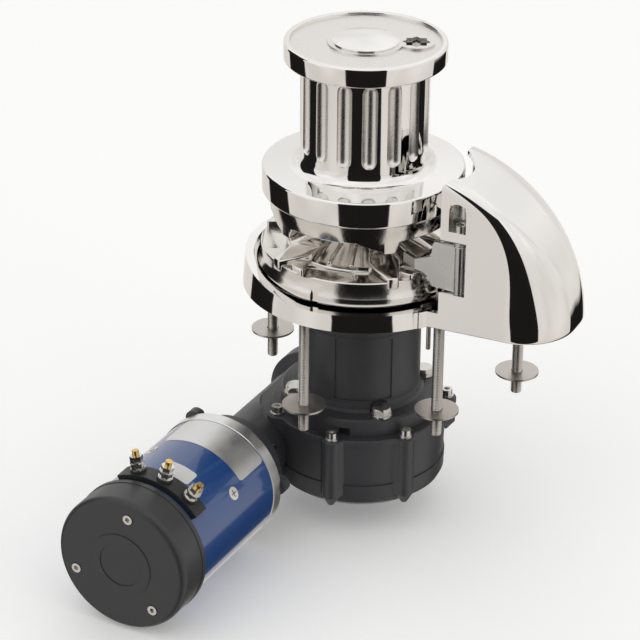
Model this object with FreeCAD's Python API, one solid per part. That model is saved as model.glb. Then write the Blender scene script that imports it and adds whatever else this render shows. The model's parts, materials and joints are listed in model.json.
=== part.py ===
import FreeCAD, Part
import math
import os

# Deck capstan with a chainwheel, a base with a chain-pipe cover, a neck, a worm gearbox and a motor.
# Millimetres. The drum turns about Z, the deck plane is z = 0, +X runs towards the chain-pipe cover.

# overall sizes
foot_r = 105.7
rim_r = 103.5
rim_top = 15.2
rim_slope_x = -15.0
rim_back_top = 31.0
recess_r = 96.0
floor_top = 8.0
hub_r = 30.0
hub_top = 16.5
register_depth = 2.0
register_gap = 0.3

# chain-pipe cover
cover_axis_x = 60.0
cover_half = 58.0
cover_reach = 208.0
cover_wall = 5.0
mouth_x = 75.0
mouth_y = -27.0
mouth_r = 39.5
pipe_x = 146.0
pipe_r = 26.0
blend_r = 20.0

# chainwheel
pockets = 6
pocket_first = -72.5
ribs_per_pocket = 3
wheel_bottom = 17.5
wheel_split = wheel_bottom + 39.5
wheel_top = wheel_split + 31.5
wheel_low_r = 93.5
wheel_up_r = 81.5
cone_big_r = 44.0
cone_small_r = 40.0
cone_depth = 20.0
cone_gap = 0.3
run_gap = 0.06

# drum
drum_bottom = wheel_top + 1.15
skirt_r = 88.9
skirt_top = drum_bottom + 24.22
skirt_wall = 13.0
barrel_r = 56.05
barrel_top = skirt_top + 96.83
drum_wall = 8.0
drum_hub_r = 24.0
nut_seat = barrel_top - 14.7
web_t = 10.0
crown_r = 70.4
crown_top = barrel_top + 17.4
crown_floor = crown_top - 3.5
crown_edge_r = 65.6
flutes = 16
flute_half = 6.0
flute_cut_r = 7.5
flute_first = -58.8
disc_r = 32.7
disc_top = crown_floor + 2.0
plug_r = 24.0
plug_gap = 0.05
cap_r = 28.6
cap_rise = 4.2
star_place_r = 43.1
star_place_deg = 25.4
star_corner_r = 12.35
star_square = 17.5
star_depth = 12.0
star_boss_r = 16.2

# main shaft
shaft_low_r = 20.0
shaft_mid_r = 17.0
shaft_top_r = 15.0
journal_r = 15.0
wheel_seat_r = 17.5
shaft_top = nut_seat + 17.0

# neck
neck_length = 121.0
neck_flange_r = 57.5
neck_flange_low = -31.0
neck_r = 54.3
neck_in_r = 44.0
neck_foot_r = 71.5
neck_foot_t = 16.0
neck_bottom = -neck_length
neck_foot_top = neck_bottom + neck_foot_t
neck_bolt_r = 61.0
neck_bolt_deep = 15.0
upper_bearing_r = 34.0
upper_bearing_t = 15.0
upper_bearing_low = -16.0

# worm gear, axial module 2.5, one start
module = 2.5
wheel_teeth = 46
worm_pitch_r = 14.3
wheel_face = 22.0
pressure_deg = 20.0
tooth_gap = 0.16

# gearbox
lid_t = 5.5
lid_low = neck_bottom - lid_t
lid_r = 80.0
lobe_place_r = 80.0
lobe_r = 8.7
lid_screw_degs = (-131.5, -81.0, -32.5, 32.5, 81.0, 131.5)
lid_screw_deep = 15.0
short_lobes = (32.5, 81.0)
case_top_r = 78.6
case_low_r = 77.0
case_in_r = 70.0
worm_x = -(module * wheel_teeth / 2 + worm_pitch_r)
worm_z = lid_low - 28.5
case_in_floor = worm_z - 16.5
case_bottom = worm_z - 36.0
lower_bearing_r = 31.0
lower_bearing_t = 16.0
shaft_bottom = case_bottom + 3.8
tunnel_r = 32.5
tunnel_back = 42.0
end_boss_r = 43.0
end_boss_back = 70.0
end_boss_round = 10.0
tunnel_cap_r = 28.0
tunnel_cap_t = 5.0
tunnel_bore_r = 23.5

# motor
ring_front = -126.8
ring_back = -139.9
ring_r = 59.5
shell_r = 58.8
shell_in_r = 54.0
cap_front = -263.0
cap_back = -300.1
cap_out_r = 62.0
terminal_degs = (99.0, 76.0, 53.0)
terminal_y = -251.5
shell_screw_degs = (30.5, 121.0, 211.0, 301.0)
shell_screw_y = -196.0
cap_screw_degs = (80.0, -160.0, -50.0)
cap_screw_place_r = 47.0
lug_degs = (2.0, 122.0, 242.0)
lug_place_r = 56.0
lug_r = 7.5
lug_t = 9.0
lug_head_r = 4.2
adapter_screw_degs = (30.0, 150.0, 270.0)
adapter_screw_place_r = 40.0

# fasteners
stud_r = 5.0
stud_shank_r = 4.6
stud_top = 7.5
studs = (
    (-90.0, 0.0, -98.0, -70.0),
    (-10.5, -88.5, -112.0, -86.0),
    (98.5, -46.0, -108.5, -83.0),
    (134.5, 45.0, -99.6, -78.0),
)
stud_washer_r = 19.5
stud_washer_t = 1.8
stud_nut_t = 5.0

# chain stripper
stripper_x = 88.0
stripper_y = -45.0
stripper_screw_r = 2.0

# control arm
pivot_x = 117.5
pivot_y = -50.0
arm_low = 36.0
arm_high = 79.5
window_low = 35.7
window_high = 85.5
window_x = 125.0
boss_low = 85.5
pocket_floor = 94.4

Z = FreeCAD.Vector(0, 0, 1)
Y = FreeCAD.Vector(0, 1, 0)
X = FreeCAD.Vector(1, 0, 0)
ORIGIN = FreeCAD.Vector(0, 0, 0)


def vec(x, y, z):
    return FreeCAD.Vector(x, y, z)


def around(radius, degrees):
    """The point at this radius and angle from +X."""
    a = math.radians(degrees)
    return radius * math.cos(a), radius * math.sin(a)


def rod(radius, low, high, x=0.0, y=0.0):
    """An upright cylinder."""
    return Part.makeCylinder(radius, high - low, vec(x, y, low), Z)


def pipe(outer, inner, low, high, x=0.0, y=0.0):
    return rod(outer, low, high, x, y).cut(rod(inner, low - 1, high + 1, x, y))


def bar(radius, front, back, x=worm_x, z=worm_z):
    """A cylinder along Y from front to back."""
    return Part.makeCylinder(radius, back - front, vec(x, front, z), Y)


def block(x0, x1, y0, y1, z0, z1):
    return Part.makeBox(x1 - x0, y1 - y0, z1 - z0, vec(x0, y0, z0))


def turned(points):
    """A solid turned about Z from (radius, height) points."""
    pts = [vec(r, 0, z) for r, z in points]
    face = Part.Face(Part.makePolygon(pts + [pts[0]]))
    return face.revolve(ORIGIN, Z, 360)


def turned_along_y(points, x=worm_x, z=worm_z):
    """A solid turned about the worm's axis from (radius, y) points."""
    pts = [vec(x + r, y, z) for r, y in points]
    face = Part.Face(Part.makePolygon(pts + [pts[0]]))
    return face.revolve(vec(x, 0, z), Y, 360)


def prism(points, low, high):
    """An upright prism over a polygon."""
    pts = [vec(x, y, low) for x, y in points]
    return Part.Face(Part.makePolygon(pts + [pts[0]])).extrude(vec(0, 0, high - low))


def hexagon(flats, low, high, x=0.0, y=0.0, turn=0.0):
    corner = flats / math.sqrt(3)
    pts = []
    for i in range(6):
        px, py = around(corner, turn + 60 * i)
        pts.append((x + px, y + py))
    return prism(pts, low, high)


def rounded(shape, wanted, along="z"):
    """Round the circular edges listed as (radius, place on the axis, rounding)."""
    for radius, place, size in wanted:
        picked = []
        for e in shape.Edges:
            if not isinstance(e.Curve, Part.Circle):
                continue
            c = e.Curve.Center
            here = c.z if along == "z" else c.y
            if abs(e.Curve.Radius - radius) < 0.05 and abs(here - place) < 0.05:
                picked.append(e)
        if picked:
            shape = shape.makeFillet(size, picked)
    return shape


def copies_about_z(shape, count, first=0.0):
    out = []
    for i in range(count):
        c = shape.copy()
        c.rotate(ORIGIN, Z, first + 360.0 * i / count)
        out.append(c)
    return out


def about_worm(shape, degrees):
    """Turn a piece about the motor's axis; 0 is +X and 90 is up."""
    c = shape.copy()
    c.rotate(vec(worm_x, 0, worm_z), Y, -degrees)
    return c


def cut_all(shape, tools):
    return shape.cut(Part.makeCompound(tools))


def one(shape):
    """The single solid in this shape, tidied."""
    shape = shape.removeSplitter()
    solids = sorted(shape.Solids, key=lambda s: -s.Volume)
    return solids[0]


def save(name, shapes):
    solids = []
    for s in shapes if isinstance(shapes, (list, tuple)) else [shapes]:
        solids.extend(s.Solids)
    out = solids[0] if len(solids) == 1 else Part.makeCompound(solids)
    out.exportStep("parts/" + name + ".step")


def cover_body(half, reach, inset=1.0):
    """The cover's outline in plan, swung up about a line across it."""
    tip = reach - half
    a = vec(cover_axis_x + inset, -half, 0)
    b = vec(tip, -half, 0)
    c = vec(reach, 0, 0)
    d = vec(tip, half, 0)
    e = vec(cover_axis_x + inset, half, 0)
    wire = Part.Wire([
        Part.LineSegment(a, b).toShape(),
        Part.Arc(b, c, d).toShape(),
        Part.LineSegment(d, e).toShape(),
        Part.LineSegment(e, a).toShape(),
    ])
    return Part.Face(wire).revolve(vec(cover_axis_x, 0, 0), vec(0, -1, 0), 90)


def rim_body():
    """The round foot, its rim level in front and rising towards the back."""
    high = rim_back_top + 4
    narrow = foot_r - (foot_r - rim_r) * high / rim_top * 0.55
    body = Part.makeCone(foot_r, narrow, high)
    out = foot_r + 5
    slope = (rim_back_top - rim_top) / (rim_r + rim_slope_x)
    back = rim_top + slope * (out + rim_slope_x)
    side = [
        vec(-out, -out, -1), vec(out, -out, -1), vec(out, -out, rim_top),
        vec(rim_slope_x, -out, rim_top), vec(-out, -out, back),
    ]
    keep = Part.Face(Part.makePolygon(side + [side[0]])).extrude(vec(0, 2 * out, 0))
    return body.common(keep)


def corner_blend(side):
    """The hollow corner between the round foot and the cover's straight wall."""
    cy = side * (cover_half + blend_r)
    cx = math.sqrt((foot_r + blend_r) ** 2 - cy ** 2)
    k = foot_r / (foot_r + blend_r)
    pts = [(cx * k, cy * k), (cx, side * cover_half), (cx, 0), (cx * k, 0)]
    return prism(pts, 0, rim_top).cut(rod(blend_r, -1, rim_top + 1, cx, cy))


def base_plate():
    body = rim_body().fuse([cover_body(cover_half, cover_reach), corner_blend(1), corner_blend(-1)])
    inner = cover_body(cover_half - cover_wall, cover_reach - cover_wall)
    inner = inner.cut(rod(400, -5, floor_top))
    body = body.cut(inner)
    body = body.cut(rod(recess_r, floor_top, 200))
    body = body.cut(rod(mouth_r, rim_top, 200, mouth_x, mouth_y))
    hub = rod(hub_r, floor_top - 1, hub_top)
    solid_cover = cover_body(cover_half, cover_reach)
    boss = rod(11.0, boss_low, 130, pivot_x, pivot_y).fuse(
        block(pivot_x - 11, pivot_x + 11, -cover_half, pivot_y, boss_low, 130))
    boss = boss.common(solid_cover).cut(rod(mouth_r, rim_top, 200, mouth_x, mouth_y))
    ear = rod(6.5, floor_top - 1, window_low - 0.3, pivot_x, pivot_y)
    ear = ear.fuse(block(pivot_x - 5, pivot_x + 5, -cover_half + 1, pivot_y, floor_top - 1, window_low - 0.3))
    body = body.fuse([hub, boss, ear])
    # the hollow for the pivot screw's head, open to the outside
    head = rod(8.3, pocket_floor, 140, pivot_x - 1, pivot_y - 1)
    head = head.fuse(block(pivot_x - 8.8, pivot_x + 6.8, -80, pivot_y, pocket_floor, 140))
    # the window the arm swings through
    window = block(pivot_x - 40, window_x, -cover_half - 5, pivot_y + 6.5, window_low, window_high)
    cuts = [
        head, window,
        rod(3.02, 14.0, 130, pivot_x, pivot_y),
        rod(pipe_r, -1, floor_top + 1, pipe_x, 0),
        rod(neck_flange_r + register_gap, -1, register_depth),
        rod(shaft_low_r + 0.4, -1, hub_top + 1),
        rod(27.0, 9.5, hub_top + 1),
        rod(stripper_screw_r + 0.05, -1, floor_top + 1, stripper_x, stripper_y),
    ]
    for x, y, low, washer in studs:
        cuts.append(rod(stud_shank_r + 0.02, -1, stud_top, x, y))
    body = cut_all(body, cuts)
    return one(body)


def capstan_drum():
    barrel_in = barrel_r - drum_wall
    skirt_in = skirt_r - skirt_wall
    profile = [
        (shaft_top_r + 0.08, drum_bottom), (drum_hub_r, drum_bottom), (drum_hub_r, nut_seat - web_t),
        (barrel_in, nut_seat - web_t), (barrel_in, skirt_top - 4.0), (barrel_in + 4.0, skirt_top - 8.0),
        (skirt_in, skirt_top - 10.0), (skirt_in, drum_bottom), (skirt_r, drum_bottom), (skirt_r, skirt_top),
        (barrel_r + 7.0, skirt_top + 0.6), (barrel_r + 2.6, skirt_top + 2.4), (barrel_r, skirt_top + 7.0),
        (barrel_r, barrel_top - 2.5), (barrel_r + 1.2, barrel_top), (crown_r, barrel_top),
        (crown_r, crown_top), (crown_edge_r, crown_top), (crown_edge_r - 2.0, crown_floor),
        (disc_r + 0.8, crown_floor), (disc_r, disc_top), (plug_r, disc_top), (plug_r, nut_seat),
        (shaft_top_r + 0.08, nut_seat),
    ]
    body = turned(profile)
    body = rounded(body, [
        (skirt_r, drum_bottom, 2.6), (skirt_r, skirt_top, 2.6),
        (crown_r, barrel_top, 2.0), (crown_r, crown_top, 2.2),
    ])
    sx, sy = around(star_place_r, star_place_deg)
    boss = rod(star_boss_r, crown_floor - 1, disc_top, sx, sy).cut(rod(plug_r, nut_seat, disc_top + 5))
    body = body.fuse(boss)
    star = []
    for i in range(16):
        radius = star_corner_r if i % 2 == 0 else star_square / 2 / math.cos(math.radians(22.5))
        px, py = around(radius, star_place_deg + 22.5 * i)
        star.append((sx + px, sy + py))
    cuts = [prism(star, disc_top - star_depth, disc_top + 5)]
    place = barrel_r + math.sqrt(flute_cut_r ** 2 - flute_half ** 2)
    low = skirt_top + 13 + flute_half
    high = barrel_top - 4.0 - flute_half
    groove = rod(flute_cut_r, low, high, place, 0)
    groove = groove.fuse([
        Part.makeSphere(flute_cut_r, vec(place, 0, low)),
        Part.makeSphere(flute_cut_r, vec(place, 0, high)),
    ])
    cuts.extend(copies_about_z(groove, flutes, flute_first))
    return one(cut_all(body, cuts))


def drum_cap():
    ball = (cap_r ** 2 + cap_rise ** 2) / (2 * cap_rise)
    dome = Part.makeSphere(ball, vec(0, 0, disc_top + 1.2 + cap_rise - ball))
    dome = dome.common(rod(cap_r, disc_top + 0.05, disc_top + 20))
    return one(dome.fuse(rod(plug_r - plug_gap, nut_seat + 19.0, disc_top + 0.5)))


def top_nut():
    nut = hexagon(36.0, nut_seat + 3.1, nut_seat + 16.0)
    return nut.cut(rod(shaft_top_r + 0.02, nut_seat - 5, nut_seat + 24))


def top_washer():
    return pipe(plug_r - 1.0, shaft_top_r + 0.1, nut_seat + 0.05, nut_seat + 3.0)


def clutch_cone(upper):
    """One of the two cones that grip the chainwheel; keyed to the shaft."""
    tight = (cone_big_r - cone_small_r) / cone_depth
    if upper:
        big, small = wheel_top + 0.7, wheel_top - cone_depth + 0.7
        r_big = cone_big_r - cone_gap
        r_small = r_big - tight * (wheel_top - small)
        pts = [(shaft_mid_r + 0.01, small), (r_small, small), (r_big, wheel_top), (r_big, big),
               (shaft_mid_r + 0.01, big)]
    else:
        big, small = wheel_bottom + 0.5, wheel_bottom + cone_depth - 0.7
        r_big = cone_big_r - cone_gap - tight * 0.5
        r_small = cone_big_r - cone_gap - tight * (small - wheel_bottom)
        pts = [(shaft_mid_r + 0.01, big), (r_big, big), (r_small, small), (shaft_mid_r + 0.01, small)]
    cone = turned(pts)
    return cone.cut(block(0, shaft_mid_r + 3.02, -3.01, 3.01, wheel_bottom - 20, wheel_top + 20))


def clutch_keys():
    low = block(shaft_mid_r - 3.5, shaft_mid_r + 3.0, -3.0, 3.0,
                wheel_bottom + 3, wheel_bottom + cone_depth - 2)
    high = block(shaft_mid_r - 3.5, shaft_mid_r + 3.0, -3.0, 3.0, wheel_top - cone_depth + 3, wheel_top - 2)
    return [low, high]


def main_shaft():
    pts = [
        (0, shaft_bottom), (journal_r, shaft_bottom), (journal_r, case_in_floor + 0.2),
        (wheel_seat_r, case_in_floor + 0.2), (wheel_seat_r, worm_z + wheel_face / 2 + 2),
        (shaft_low_r, worm_z + wheel_face / 2 + 2), (shaft_low_r, wheel_bottom + 0.5),
        (shaft_mid_r, wheel_bottom + 0.5), (shaft_mid_r, drum_bottom - 0.05), (shaft_top_r, drum_bottom - 0.05),
        (shaft_top_r, shaft_top - 1.5), (shaft_top_r - 1.5, shaft_top), (0, shaft_top),
    ]
    body = turned(pts)
    cuts = list(clutch_keys())
    cuts.append(wheel_key())
    return one(cut_all(body, cuts))



def wheel_key():
    return block(wheel_seat_r - 3.5, wheel_seat_r + 3.0, -3.0, 3.0, worm_z - 9, worm_z + 9)


def pocket_cutter(lower):
    """Seat of one flat-lying link: a level floor and a rounded trough outside it."""
    side = 1 if lower else -1
    floor = 32.0 if lower else 74.0
    far = floor + side * 40
    a, b = min(floor, far), max(floor, far)
    seat = block(62.5, 96, -13, 13, a, b)
    for s in (-1, 1):
        seat = seat.fuse(rod(10.5, a, b, 73.0, s * 13.5))
        seat = seat.fuse(block(73.0, 96, min(0, s * 24), max(0, s * 24), a, b))
    h = 42.0 if lower else 64.5
    trough = Part.makeCylinder(15.0, 36.0, vec(88.0, -18.0, h), Y)
    trough = trough.fuse([
        Part.makeSphere(15.0, vec(88.0, -18.0, h)),
        Part.makeSphere(15.0, vec(88.0, 18.0, h)),
    ])
    return seat.fuse(trough)


def rope_rib(start, end, radius, ball):
    """A rib on the wall of the groove, from one (radius, height) to another."""
    a = vec(start[0], 0, start[1])
    b = vec(end[0], 0, end[1])
    rib = Part.makeCylinder(radius, (b - a).Length, a, b - a)
    if ball:
        rib = rib.fuse(Part.makeSphere(ball, b))
    return rib


def chainwheel_lower():
    top = wheel_bottom + cone_depth
    pts = [
        (shaft_mid_r + run_gap, top), (cone_small_r, top), (cone_big_r, wheel_bottom),
        (wheel_low_r - 2.0, wheel_bottom), (wheel_low_r, wheel_bottom + 1.5), (wheel_low_r, 23.5),
        (90.5, 28.0), (88.0, 35.5), (85.0, 38.5), (70.0, 45.0), (67.0, 45.0), (61.5, 40.3),
        (38.5, 52.6), (36.5, 54.5), (36.0, wheel_split), (shaft_mid_r + run_gap, wheel_split),
    ]
    body = turned(pts)
    cuts = copies_about_z(pocket_cutter(True), pockets, pocket_first)
    nick = block(wheel_low_r - 2.6, wheel_low_r + 5, -3.5, 3.5, wheel_bottom - 1, 30)
    cuts.extend(copies_about_z(nick, pockets, pocket_first - 22.0))
    body = cut_all(body, cuts)
    rib = rope_rib((39.0, 52.6), (61.0, 41.2), 1.4, 2.3)
    body = body.fuse(copies_about_z(rib, pockets * ribs_per_pocket, pocket_first))
    return one(body)


def chainwheel_upper():
    low = wheel_top - cone_depth
    pts = [
        (shaft_mid_r + run_gap, wheel_split), (36.0, wheel_split), (36.5, 59.0), (38.5, 61.0),
        (62.0, 71.0), (66.5, 62.5), (68.5, 60.8), (76.5, 60.8), (78.5, 63.0), (wheel_up_r, 80.0),
        (wheel_up_r, wheel_top), (cone_big_r, wheel_top), (cone_small_r, low), (shaft_mid_r + run_gap, low),
    ]
    body = turned(pts)
    cuts = copies_about_z(pocket_cutter(False), pockets, pocket_first)
    body = cut_all(body, cuts)
    rib = rope_rib((39.5, 61.2), (60.5, 70.2), 1.4, 0)
    body = body.fuse(copies_about_z(rib, pockets * ribs_per_pocket, pocket_first))
    return one(body)


def arm_outline():
    """The arm seen from the side, (x, z)."""
    return [
        (pivot_x + 2, arm_low + 0.5), (pivot_x + 2, arm_high - 0.5), (94.0, arm_high + 0.3),
        (92.0, arm_high - 4), (91.4, 67.0), (90.0, 64.6), (88.0, 63.8), (76.5, 59.6), (76.5, 50.2),
        (84.0, 48.8), (88.5, 45.5), (90.6, 41.0), (91.5, arm_low + 3), (93.0, arm_low + 1.6),
    ]


def control_arm():
    pts = [vec(x, pivot_y - 1.5, z) for x, z in arm_outline()]
    plate = Part.Face(Part.makePolygon(pts + [pts[0]])).extrude(vec(0, 3, 0))
    tip = [(77.5, -51.5), (77.5, -48.5), (63.0, -41.0), (61.4, -43.4), (75.8, -51.5)]
    finger = prism(tip, 50.2, 59.6)
    barrel = rod(4.6, arm_low, arm_high, pivot_x, pivot_y)
    body = plate.fuse([finger, barrel])
    return one(body.cut(rod(3.06, 0, 120, pivot_x, pivot_y)))


def arm_pivot_screw():
    body = rod(3.0, 14.5, pocket_floor + 1, pivot_x, pivot_y)
    head = rod(5.0, pocket_floor + 0.02, pocket_floor + 6.0, pivot_x, pivot_y)
    head = head.cut(hexagon(5.0, pocket_floor + 3.0, pocket_floor + 8, pivot_x, pivot_y))
    return one(body.cut(rod(6, pocket_floor + 0.02, 200, pivot_x, pivot_y)).fuse(head))


def arm_spring():
    """Turns of wire round the pivot above the arm."""
    turns = []
    for i in range(3):
        turns.append(Part.makeTorus(5.0, 0.7, vec(pivot_x, pivot_y, arm_high + 1.0 + 1.7 * i), Z))
    return turns


def chain_stripper():
    foot = block(-17, 13, -7, 7, floor_top + 0.02, 15.8)
    foot = foot.fuse(block(-27, -15, -5, 5, 12.0, 15.8))
    foot.rotate(ORIGIN, Z, -28)
    foot.translate(vec(stripper_x, stripper_y, 0))
    foot = foot.common(rod(recess_r - 0.3, 0, 60))
    return one(foot.cut(rod(stripper_screw_r + 0.02, 0, 14, stripper_x, stripper_y)))


def stripper_screw():
    return rod(stripper_screw_r, -27.0, 13.5, stripper_x, stripper_y)


def shaft_seal():
    return pipe(26.98, shaft_low_r + 0.06, 9.55, hub_top - 0.3)


def ball_bearing(outer, inner, low, high):
    """A bearing as its rings and shields in one piece, with grooves that show the rings."""
    body = pipe(outer, inner, low, high)
    step = (outer - inner) / 4
    for z0, z1 in ((low - 1, low + 0.5), (high - 0.5, high + 1)):
        body = body.cut(pipe(outer - step, inner + step, z0, z1))
    return one(body)


def spacer_tube():
    outer = [
        (neck_flange_r, register_depth), (neck_flange_r, neck_flange_low + 2), (neck_r, neck_flange_low - 1.5),
        (neck_r, neck_foot_top + 8), (neck_r + 1.2, neck_foot_top + 3), (neck_r + 4.0, neck_foot_top + 0.8),
        (neck_foot_r - 2, neck_foot_top), (neck_foot_r, neck_foot_top - 1.5), (neck_foot_r, neck_bottom),
        (neck_in_r, neck_bottom), (neck_in_r, upper_bearing_low - 6),
        (upper_bearing_r - 10, upper_bearing_low - 6), (upper_bearing_r - 10, upper_bearing_low),
        (upper_bearing_r, upper_bearing_low),
        (upper_bearing_r, register_depth),
    ]
    body = turned(outer)
    cuts = []
    # three shallow panels
    ring = pipe(neck_r + 3, neck_r - 1.2, neck_foot_top + 11, neck_flange_low - 4)
    wedge = prism([(0, 0), around(120, -28), around(150, 0), around(120, 28)], neck_bottom - 19, 0)
    for a in (-60, 60, 180):
        w = wedge.copy()
        w.rotate(ORIGIN, Z, a)
        cuts.append(ring.common(w))
    notch = block(neck_foot_r - 7, neck_foot_r + 5, -5, 5, neck_bottom + 0.6, neck_bottom + 8.2)
    notch.rotate(ORIGIN, Z, -74)
    cuts.append(notch)
    for x, y in bolt_places():
        cuts.append(rod(5.3, neck_bottom - 1, neck_foot_top + 1, x, y))
        cuts.append(rod(10.3, neck_foot_top, neck_foot_top + 12, x, y))
    return one(cut_all(body, cuts))


def bolt_places():
    return [around(neck_bolt_r, a) for a in (45, 135, 225, 315)]


def neck_bolts():
    out = []
    for x, y in bolt_places():
        seat = neck_foot_top + 1.6
        head = hexagon(16.0, seat, seat + 6.5, x, y, 12)
        cone = Part.makeCone(10.2, 7.6, 7.5, vec(x, y, seat))
        out.append(one(head.common(cone).fuse(rod(5.0, neck_bottom - neck_bolt_deep, seat + 1, x, y))))
    return out


def neck_washers():
    return [pipe(10.0, 5.15, neck_foot_top + 0.02, neck_foot_top + 1.58, x, y) for x, y in bolt_places()]


def lobe_places():
    return [around(lobe_place_r, a) for a in lid_screw_degs]


def hollow_between(r_main, r_lobe, low, high, degs):
    """A lobe with its flanks drawn out to the round body."""
    x, y = around(lobe_place_r, degs)
    a = math.radians(degs)
    lobe = rod(r_lobe, low, high, x, y)
    reach = r_lobe * 1.55
    ux, uy = math.cos(a), math.sin(a)
    px, py = -uy, ux
    inner = r_main - 9
    pts = [
        (inner * ux + reach * 1.3 * px, inner * uy + reach * 1.3 * py),
        (x + r_lobe * 0.94 * px + 2.6 * ux, y + r_lobe * 0.94 * py + 2.6 * uy),
        (x - r_lobe * 0.94 * px + 2.6 * ux, y - r_lobe * 0.94 * py + 2.6 * uy),
        (inner * ux - reach * 1.3 * px, inner * uy - reach * 1.3 * py),
    ]
    return lobe.fuse(prism(pts, low, high))


def gearbox_lid():
    body = rod(lid_r, lid_low, neck_bottom)
    tools = [hollow_between(lid_r, lobe_r, lid_low, neck_bottom, a) for a in lid_screw_degs]
    for x, y in bolt_places():
        tools.append(rod(8.5, neck_bottom - neck_bolt_deep - 3, neck_bottom, x, y))
    spigot = rod(case_in_r - 0.1, lid_low - 3, lid_low + 1)
    tools.append(spigot.cut(rod(case_in_r - 6, lid_low - 4, lid_low + 2)))
    body = body.fuse(tools)
    cuts = [rod(30.0, lid_low - 20, neck_bottom + 10)]
    for x, y in lobe_places():
        cuts.append(rod(3.25, lid_low - 20, neck_bottom + 10, x, y))
    for x, y in bolt_places():
        cuts.append(rod(5.02, neck_bottom - neck_bolt_deep - 1, neck_bottom + 10, x, y))
    body = cut_all(body, cuts)
    body = one(body)
    edges = []
    for e in body.Edges:
        box = e.BoundBox
        if abs(box.ZMin - neck_bottom) < 0.01 and abs(box.ZMax - neck_bottom) < 0.01:
            mid = e.valueAt((e.FirstParameter + e.LastParameter) / 2)
            if math.hypot(mid.x, mid.y) > lid_r - 4 and not (
                    isinstance(e.Curve, Part.Circle) and abs(e.Curve.Radius - 3.25) < 0.1):
                edges.append(e)
    return one(body.makeFillet(1.4, edges))


def gearbox_case():
    body = Part.makeCone(case_top_r, case_low_r, 54.5, vec(0, 0, lid_low), vec(0, 0, -1))
    low = turned([(0, lid_low - 54.5), (case_low_r, lid_low - 54.5), (case_low_r - 1.0, case_bottom + 5),
                  (case_low_r - 7.0, case_bottom), (0, case_bottom)])
    belt = turned([(60, worm_z - 13.0), (case_low_r + 1.6, worm_z - 13.0), (case_low_r + 1.2, worm_z - 26.5),
                   (60, worm_z - 29.0)])
    tools = [low, belt]
    for a in lid_screw_degs:
        x, y = around(lobe_place_r, a)
        if a in short_lobes:
            lobe_low, tip_r = worm_z + 9.0, 1.0
        else:
            lobe_low, tip_r = worm_z - 23.0, 3.0
        tools.append(hollow_between(case_top_r - 2, lobe_r - 0.5, lobe_low, lid_low, a))
        tools.append(Part.makeCone(lobe_r - 0.5, tip_r, 9.0, vec(x, y, lobe_low), vec(0, 0, -1)))
    tools.append(bar(tunnel_r, -108.0, tunnel_back))
    boss = turned_along_y([(20, tunnel_back - 9), (tunnel_r, tunnel_back - 9), (end_boss_r, tunnel_back),
                           (end_boss_r, end_boss_back), (20, end_boss_back)])
    tools.append(rounded(boss, [(end_boss_r, end_boss_back, end_boss_round)], "y"))
    tools.append(bar(46.0, -112.0, -102.0))
    tools.append(turned_along_y([(20, -102.0), (46.0, -102.0), (tunnel_r, -88.0), (20, -88.0)]))
    body = body.fuse(tools)
    body = body.cut(rod(lobe_place_r + lobe_r + 2.0, lid_low, lid_low + 66))
    cuts = [
        rod(case_in_r, case_in_floor, lid_low + 20),
        rod(lower_bearing_r, case_bottom + 3, case_in_floor + 1),
        bar(tunnel_bore_r + 0.05, -120.0, end_boss_back + 5),
    ]
    for x, y in lobe_places():
        cuts.append(rod(3.02, neck_bottom - lid_screw_deep - 1, lid_low + 20, x, y))
    for a in adapter_screw_degs:
        hole = bar(3.02, -113.0, -92.0, worm_x + adapter_screw_place_r, worm_z)
        cuts.append(about_worm(hole, a))
    body = cut_all(body, cuts)
    return one(body)


def lid_screws():
    out = []
    for x, y in lobe_places():
        seat = neck_bottom + 1.6
        head = rod(5.0, seat, seat + 6.0, x, y)
        head = head.cut(hexagon(5.0, seat + 3.0, seat + 7, x, y))
        out.append(one(head.fuse(rod(3.0, neck_bottom - lid_screw_deep, seat + 1, x, y))))
    return out


def lid_washers():
    return [pipe(6.2, 3.1, neck_bottom + 0.02, neck_bottom + 1.58, x, y) for x, y in lobe_places()]


def tooth_space(root, outer):
    """The outline of the space between two involute teeth, centred on +X."""
    pitch_r = module * wheel_teeth / 2
    pressure = math.radians(pressure_deg)
    base_r = pitch_r * math.cos(pressure)
    half_tooth = math.pi / (2 * wheel_teeth) - tooth_gap / pitch_r + math.tan(pressure) - pressure
    steps = 5
    side = []
    for i in range(steps + 1):
        r = root + (outer - root) * i / steps
        here = math.acos(min(1.0, base_r / r))
        a = math.pi / wheel_teeth - (half_tooth - math.tan(here) + here)
        side.append((r * math.cos(a), r * math.sin(a)))
    return [(x, -y) for x, y in side] + side[::-1]


def worm_wheel():
    """Throated wheel with involute teeth cut along the slant of the worm's thread."""
    pitch_r = module * wheel_teeth / 2
    tip_r = pitch_r + module
    hub = pipe(27.0, wheel_seat_r + 0.01, worm_z - wheel_face / 2, worm_z + wheel_face / 2)
    rim = pipe(tip_r, wheel_seat_r + 0.01, worm_z - 9.0, worm_z + 9.0)
    body = hub.fuse(rim)
    throat = Part.makeTorus(-worm_x, worm_pitch_r - module + tooth_gap, vec(0, 0, worm_z), Z)
    body = body.cut(throat)
    slant = module / (2 * worm_pitch_r)
    half = wheel_face / 2 + 1
    outline = tooth_space(pitch_r - 1.2 * module, tip_r + 1)
    pts = [vec(x, y - half * slant, worm_z - half) for x, y in outline]
    gap = Part.Face(Part.makePolygon(pts + [pts[0]])).extrude(vec(0, 2 * half * slant, 2 * half))
    cuts = copies_about_z(gap, wheel_teeth, 180.0)
    cuts.append(block(0, wheel_seat_r + 3.02, -3.01, 3.01, worm_z - 45, worm_z + 45))
    for a in range(6):
        x, y = around(41.0, 30 + 60 * a)
        cuts.append(rod(7.0, worm_z - 45, worm_z + 45, x, y))
    return one(cut_all(body, cuts))


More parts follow.
